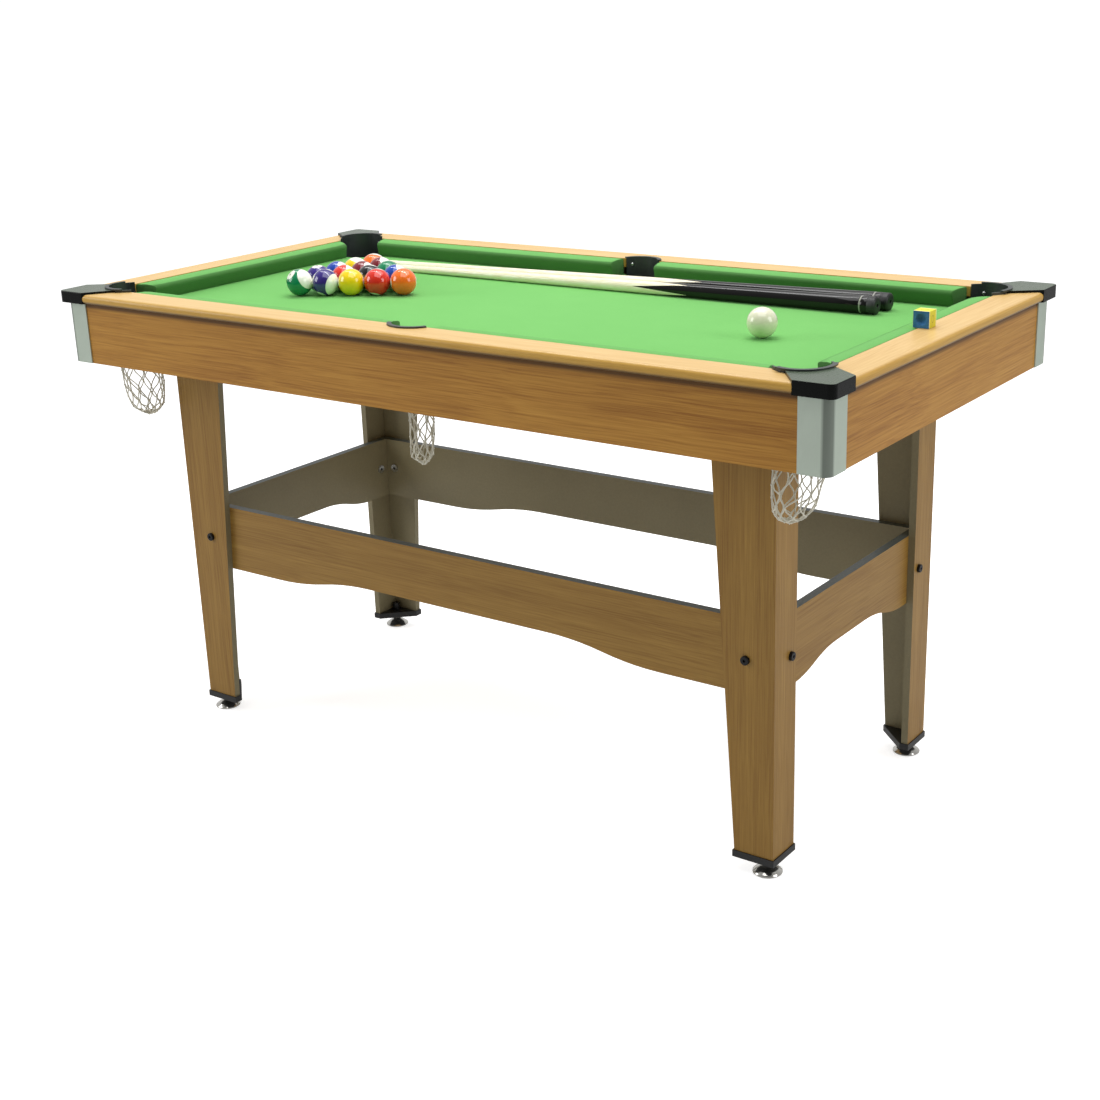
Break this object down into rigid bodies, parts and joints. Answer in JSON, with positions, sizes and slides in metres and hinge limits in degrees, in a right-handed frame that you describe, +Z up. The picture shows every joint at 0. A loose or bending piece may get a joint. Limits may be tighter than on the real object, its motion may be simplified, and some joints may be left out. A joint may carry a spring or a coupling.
{
  "type": "mini pool table",
  "caption": "Small pool table with a wooden top frame, green cloth bed, cord pocket nets, angle-section board legs and a loose play set.",
  "frame": {"origin": "on the floor, under the middle of the table", "axes": "+X along the table's length towards the cue-ball end, +Y across the width towards the rear long side, +Z up"},
  "size_m": [1.5, 0.775, 0.8273],
  "materials": {
    "rail_wood": "satin laminate",
    "cabinet_wood": "satin laminate",
    "leg_wood": "satin laminate",
    "board_wood": "raw board",
    "bed_cloth": "napped",
    "cushion_cloth": "napped",
    "black_plastic": "satin",
    "foot_plastic": "satin",
    "trim_metal": "satin",
    "black_bolt": "satin",
    "steel": "satin",
    "chrome": "polished",
    "net_cord": "knotted cord",
    "cue_wood": "gloss lacquer",
    "chalk": "dry",
    "ball_white": "polished",
    "ball_yellow": "polished",
    "ball_blue": "polished",
    "ball_red": "polished",
    "ball_purple": "polished",
    "ball_orange": "polished",
    "ball_green": "polished",
    "ball_maroon": "polished",
    "ball_black": "polished"
  },
  "bodies": {
    "table": {"bed_board": "board_wood", "bed_cloth": "bed_cloth", "bed_supports": "board_wood", "rail_backing": "board_wood", "corner_castings": "black_plastic", "corner_trims": "trim_metal", "corner_liners": "black_plastic", "side_liners": "black_plastic", "liner_screws": "steel", "side_net_front": "net_cord", "side_net_rear": "net_cord", "corner_net_front_left": "net_cord", "corner_net_front_right": "net_cord", "corner_net_rear_left": "net_cord", "corner_net_rear_right": "net_cord", "leg_bolts": "black_bolt", "leg_nuts": "steel", "foot_caps": "foot_plastic", "apron_front": "cabinet_wood", "rail_front": "rail_wood", "stretcher_front": "leg_wood", "apron_rear": "cabinet_wood", "rail_rear": "rail_wood", "stretcher_rear": "leg_wood", "apron_left": "cabinet_wood", "rail_left": "rail_wood", "stretcher_left": "leg_wood", "cushion_left": "cushion_cloth", "apron_right": "cabinet_wood", "rail_right": "rail_wood", "stretcher_right": "leg_wood", "cushion_right": "cushion_cloth", "cushion_front_left": "cushion_cloth", "leg_front_left": "leg_wood", "cushion_front_right": "cushion_cloth", "leg_front_right": "leg_wood", "cushion_rear_left": "cushion_cloth", "leg_rear_left": "leg_wood", "cushion_rear_right": "cushion_cloth", "leg_rear_right": "leg_wood"},
    "glide_front_left_body": {"glide_front_left": "chrome"},
    "glide_front_right_body": {"glide_front_right": "chrome"},
    "glide_rear_left_body": {"glide_rear_left": "chrome"},
    "glide_rear_right_body": {"glide_rear_right": "chrome"},
    "ball_14_body": {"ball_14": "ball_green"},
    "ball_12_body": {"ball_12": "ball_purple"},
    "ball_01_body": {"ball_01": "ball_yellow"},
    "ball_03_body": {"ball_03": "ball_red"},
    "ball_05_body": {"ball_05": "ball_orange"},
    "ball_04_body": {"ball_04": "ball_purple"},
    "ball_11_body": {"ball_11": "ball_red"},
    "ball_08_body": {"ball_08": "ball_black"},
    "ball_10_body": {"ball_10": "ball_blue"},
    "ball_02_body": {"ball_02": "ball_blue"},
    "ball_07_body": {"ball_07": "ball_maroon"},
    "ball_06_body": {"ball_06": "ball_green"},
    "ball_09_body": {"ball_09": "ball_yellow"},
    "ball_15_body": {"ball_15": "ball_maroon"},
    "ball_13_body": {"ball_13": "ball_orange"},
    "ball_cue_body": {"ball_cue": "ball_white"},
    "cue_front_body": {"cue_front": "cue_wood"},
    "cue_rear_body": {"cue_rear": "cue_wood"},
    "chalk_body": {"chalk": "chalk"}
  },
  "joints": [
    {"name": "glide_front_left_screw", "type": "slide", "parent": "table", "child": "glide_front_left_body", "axis": [0, 0, -1], "range_m": [0, 0.012]},
    {"name": "glide_front_right_screw", "type": "slide", "parent": "table", "child": "glide_front_right_body", "axis": [0, 0, -1], "range_m": [0, 0.012]},
    {"name": "glide_rear_left_screw", "type": "slide", "parent": "table", "child": "glide_rear_left_body", "axis": [0, 0, -1], "range_m": [0, 0.012]},
    {"name": "glide_rear_right_screw", "type": "slide", "parent": "table", "child": "glide_rear_right_body", "axis": [0, 0, -1], "range_m": [0, 0.012]},
    {"name": "ball_14_lift", "type": "slide", "parent": "table", "child": "ball_14_body", "axis": [0, 0, 1], "range_m": [0, 0.15]},
    {"name": "ball_12_lift", "type": "slide", "parent": "table", "child": "ball_12_body", "axis": [0, 0, 1], "range_m": [0, 0.15]},
    {"name": "ball_01_lift", "type": "slide", "parent": "table", "child": "ball_01_body", "axis": [0, 0, 1], "range_m": [0, 0.15]},
    {"name": "ball_03_lift", "type": "slide", "parent": "table", "child": "ball_03_body", "axis": [0, 0, 1], "range_m": [0, 0.15]},
    {"name": "ball_05_lift", "type": "slide", "parent": "table", "child": "ball_05_body", "axis": [0, 0, 1], "range_m": [0, 0.15]},
    {"name": "ball_04_lift", "type": "slide", "parent": "table", "child": "ball_04_body", "axis": [0, 0, 1], "range_m": [0, 0.15]},
    {"name": "ball_11_lift", "type": "slide", "parent": "table", "child": "ball_11_body", "axis": [0, 0, 1], "range_m": [0, 0.15]},
    {"name": "ball_08_lift", "type": "slide", "parent": "table", "child": "ball_08_body", "axis": [0, 0, 1], "range_m": [0, 0.15]},
    {"name": "ball_10_lift", "type": "slide", "parent": "table", "child": "ball_10_body", "axis": [0, 0, 1], "range_m": [0, 0.15]},
    {"name": "ball_02_lift", "type": "slide", "parent": "table", "child": "ball_02_body", "axis": [0, 0, 1], "range_m": [0, 0.15]},
    {"name": "ball_07_lift", "type": "slide", "parent": "table", "child": "ball_07_body", "axis": [0, 0, 1], "range_m": [0, 0.15]},
    {"name": "ball_06_lift", "type": "slide", "parent": "table", "child": "ball_06_body", "axis": [0, 0, 1], "range_m": [0, 0.15]},
    {"name": "ball_09_lift", "type": "slide", "parent": "table", "child": "ball_09_body", "axis": [0, 0, 1], "range_m": [0, 0.15]},
    {"name": "ball_15_lift", "type": "slide", "parent": "table", "child": "ball_15_body", "axis": [0, 0, 1], "range_m": [0, 0.15]},
    {"name": "ball_13_lift", "type": "slide", "parent": "table", "child": "ball_13_body", "axis": [0, 0, 1], "range_m": [0, 0.15]},
    {"name": "ball_cue_lift", "type": "slide", "parent": "table", "child": "ball_cue_body", "axis": [0, 0, 1], "range_m": [0, 0.15]},
    {"name": "cue_front_lift", "type": "slide", "parent": "table", "child": "cue_front_body", "axis": [0, 0, 1], "range_m": [0, 0.15]},
    {"name": "cue_rear_lift", "type": "slide", "parent": "table", "child": "cue_rear_body", "axis": [0, 0, 1], "range_m": [0, 0.15]},
    {"name": "chalk_lift", "type": "slide", "parent": "table", "child": "chalk_body", "axis": [0, 0, 1], "range_m": [0, 0.15]}
  ]
}
